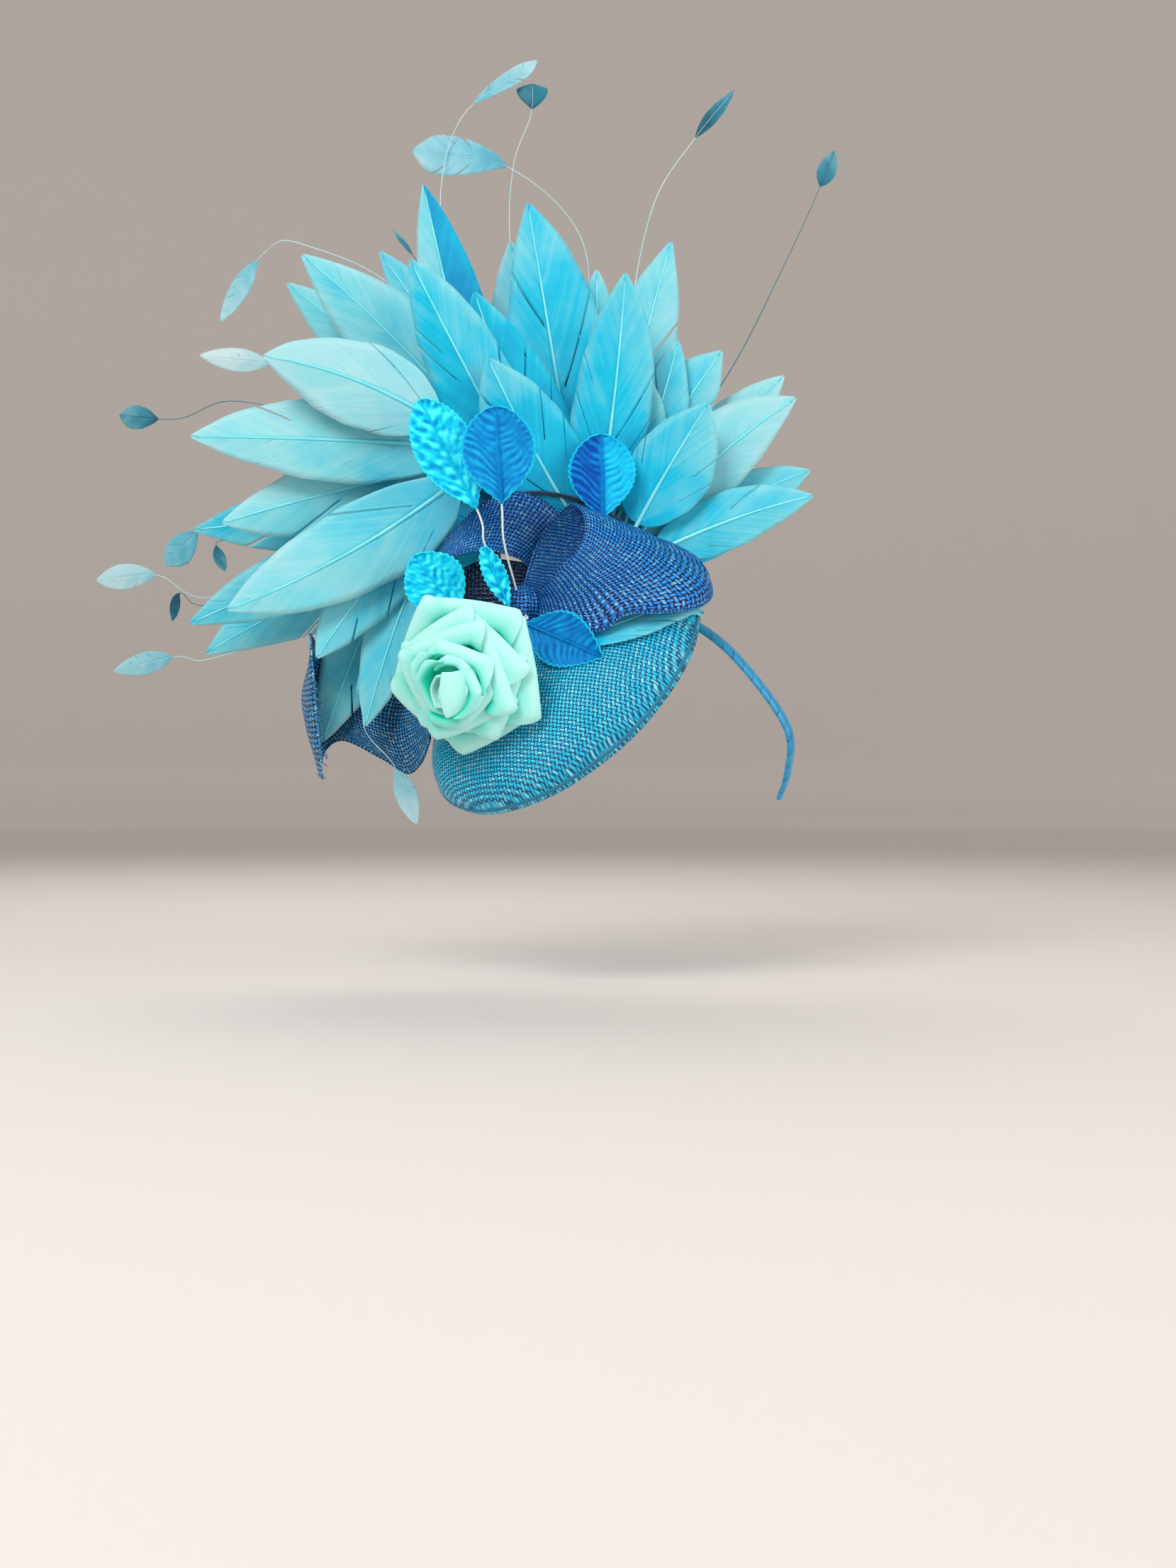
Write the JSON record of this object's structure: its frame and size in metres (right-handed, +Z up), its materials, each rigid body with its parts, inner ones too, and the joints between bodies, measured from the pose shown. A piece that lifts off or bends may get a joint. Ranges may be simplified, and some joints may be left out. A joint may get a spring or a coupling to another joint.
{
  "type": "fascinator",
  "caption": "Saucer fascinator on a headband, with ribbon loops, a foam rose, velvet leaves, a fan of trimmed feathers and fine stripped quills.",
  "frame": {"origin": "the seat on the crown of the wearer's head, in the middle of the headband's underside", "axes": "+Z is up as worn, -Y is the way that the wearer faces, and +X is the wearer's left"},
  "size_m": [0.4027, 0.2576, 0.4347],
  "materials": {
    "satin": "satin-covered",
    "straw": "open straw weave",
    "ribbon": "open straw ribbon",
    "felt": "felt",
    "foam": "matte foam",
    "velvet_light": "velvet",
    "velvet_dark": "velvet",
    "plume": "feather vane",
    "quills": "feather quill"
  },
  "bodies": {
    "root": {"base": "straw", "feather_arch": "felt", "feather_left_1": "plume", "feather_left_2": "plume", "feather_left_2_back": "plume", "feather_left_3": "plume", "feather_left_3_back": "plume", "feather_left_3_low": "plume", "feather_left_4": "plume", "feather_left_5": "plume", "feather_left_6": "plume", "feather_left_6_back": "plume", "feather_left_6_side": "plume", "feather_left_7": "plume", "feather_left_8": "plume", "feather_low_1": "plume", "feather_low_2": "plume", "feather_low_3": "plume", "feather_middle_1": "plume", "feather_middle_2": "plume", "feather_right_1": "plume", "feather_right_1_back": "plume", "feather_right_2": "plume", "feather_right_3": "plume", "feather_right_3_back": "plume", "feather_top_1": "plume", "feather_top_1_back": "plume", "feather_top_2": "plume", "feather_top_2_back": "plume", "feather_top_3": "plume", "feather_top_3_front": "plume", "feather_top_4": "plume", "feather_under": "plume", "headband": "satin", "leaf_bright": "velvet_light", "leaf_dark": "velvet_dark", "leaf_left": "velvet_light", "leaf_narrow": "velvet_light", "leaf_right": "velvet_dark", "leaf_round": "velvet_dark", "loop_back": "ribbon", "loop_front": "ribbon", "loop_low": "ribbon", "petal_inner_1": "foam", "petal_inner_2": "foam", "petal_middle_1": "foam", "petal_middle_2": "foam", "petal_middle_3": "foam", "petal_outer_1": "foam", "petal_outer_2": "foam", "petal_outer_3": "foam", "petal_outer_4": "foam", "ribbon_knot": "ribbon", "ribbon_tuck": "ribbon", "rose_heart": "foam", "spray_left": "quills", "spray_right": "quills", "spray_top": "quills", "stitch_pad": "felt", "wisp_low": "quills"}
  },
  "joints": []
}
